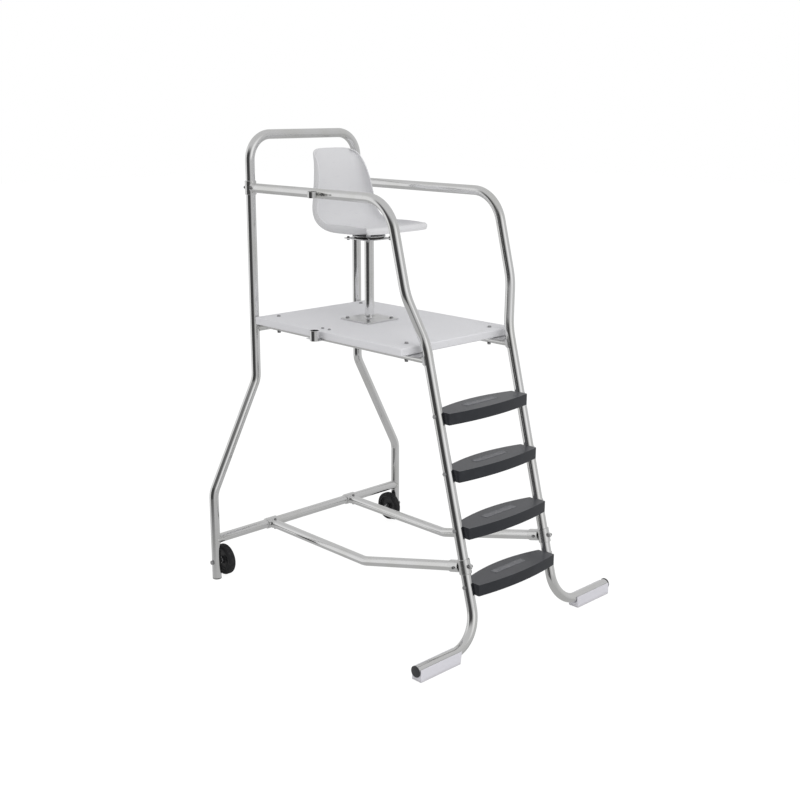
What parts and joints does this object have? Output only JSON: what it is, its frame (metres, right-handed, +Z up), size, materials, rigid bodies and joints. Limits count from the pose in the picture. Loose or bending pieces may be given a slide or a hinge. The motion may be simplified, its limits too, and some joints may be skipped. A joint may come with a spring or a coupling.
{
  "type": "lifeguard chair",
  "caption": "Tall movable lifeguard chair: bent stainless tube frame, platform with swivel bucket seat, ladder treads, front skids and rear transport wheels.",
  "frame": {"origin": "on the pool deck under the middle of the whole chair's box", "axes": "+Z up, the ladder towards -Y and the rear hoop towards +Y, +X to the right of a person who faces the ladder"},
  "size_m": [1.4046, 1.6658, 2.3521],
  "materials": {
    "polished_tube": "satin-polished stainless tube",
    "clamp_fitting": "polished cast stainless",
    "fastener": "bright stainless",
    "plate_steel": "satin stainless sheet",
    "bearing_steel": "dark oiled steel",
    "platform_board": "finely stippled moulded board",
    "seat_shell": "smooth moulded shell with a soft sheen",
    "tread_plastic": "textured moulded plastic",
    "skid_plastic": "machined pale plastic",
    "plug_plastic": "smooth dark plastic",
    "tyre": "smooth solid rubber",
    "hub_plastic": "moulded black plastic"
  },
  "bodies": {
    "frame": {"rear_hoop": "polished_tube", "rear_crossbar": "polished_tube", "platform_cross_tube": "polished_tube", "left_rail": "polished_tube", "right_rail": "polished_tube", "left_lower_rail": "polished_tube", "right_lower_rail": "polished_tube", "left_handrail_tee": "clamp_fitting", "left_crossbar_tee": "clamp_fitting", "left_ladder_tee": "clamp_fitting", "right_handrail_tee": "clamp_fitting", "right_crossbar_tee": "clamp_fitting", "right_ladder_tee": "clamp_fitting", "left_platform_bearer": "polished_tube", "right_platform_bearer": "polished_tube", "left_front_bracket": "plate_steel", "right_front_bracket": "plate_steel", "platform": "platform_board", "platform_bolt_left_rear": "fastener", "platform_bolt_left_front": "fastener", "platform_bolt_right_rear": "fastener", "platform_bolt_right_front": "fastener", "pedestal_bolt_left_rear": "fastener", "pedestal_bolt_left_front": "fastener", "pedestal_bolt_right_rear": "fastener", "pedestal_bolt_right_front": "fastener", "pole_holder_bolt_rear": "fastener", "pole_holder_bolt_front": "fastener", "pedestal_base_plate": "plate_steel", "pedestal_post": "polished_tube", "swivel_lower_plate": "plate_steel", "swivel_bearing": "bearing_steel", "tread_1": "tread_plastic", "tread_2": "tread_plastic", "tread_3": "tread_plastic", "tread_4": "tread_plastic", "left_tread_bolt_1": "fastener", "left_tread_bolt_2": "fastener", "left_tread_bolt_3": "fastener", "left_tread_bolt_4": "fastener", "right_tread_bolt_1": "fastener", "right_tread_bolt_2": "fastener", "right_tread_bolt_3": "fastener", "right_tread_bolt_4": "fastener", "left_skid": "skid_plastic", "right_skid": "skid_plastic", "left_foot_plug": "plug_plastic", "left_leg_tip": "plug_plastic", "right_foot_plug": "plug_plastic", "right_leg_tip": "plug_plastic", "left_axle_bolt": "fastener", "right_axle_bolt": "fastener", "pole_holder_upper": "clamp_fitting", "pole_holder_lower": "clamp_fitting"},
    "seat": {"seat_shell": "seat_shell", "swivel_upper_plate": "plate_steel"},
    "left_wheel": {"left_tyre": "tyre", "left_hub": "hub_plastic"},
    "right_wheel": {"right_tyre": "tyre", "right_hub": "hub_plastic"}
  },
  "joints": [
    {"name": "seat_swivel", "type": "hinge", "parent": "frame", "child": "seat", "pos_m": [0, 0.24991, 1.83], "axis": [0, 0, 1], "continuous": true},
    {"name": "left_wheel_spin", "type": "hinge", "parent": "frame", "child": "left_wheel", "pos_m": [-0.61385, 0.74991, 0.096], "axis": [1, 0, 0], "continuous": true},
    {"name": "right_wheel_spin", "type": "hinge", "parent": "frame", "child": "right_wheel", "pos_m": [0.61385, 0.74991, 0.096], "axis": [1, 0, 0], "continuous": true}
  ]
}
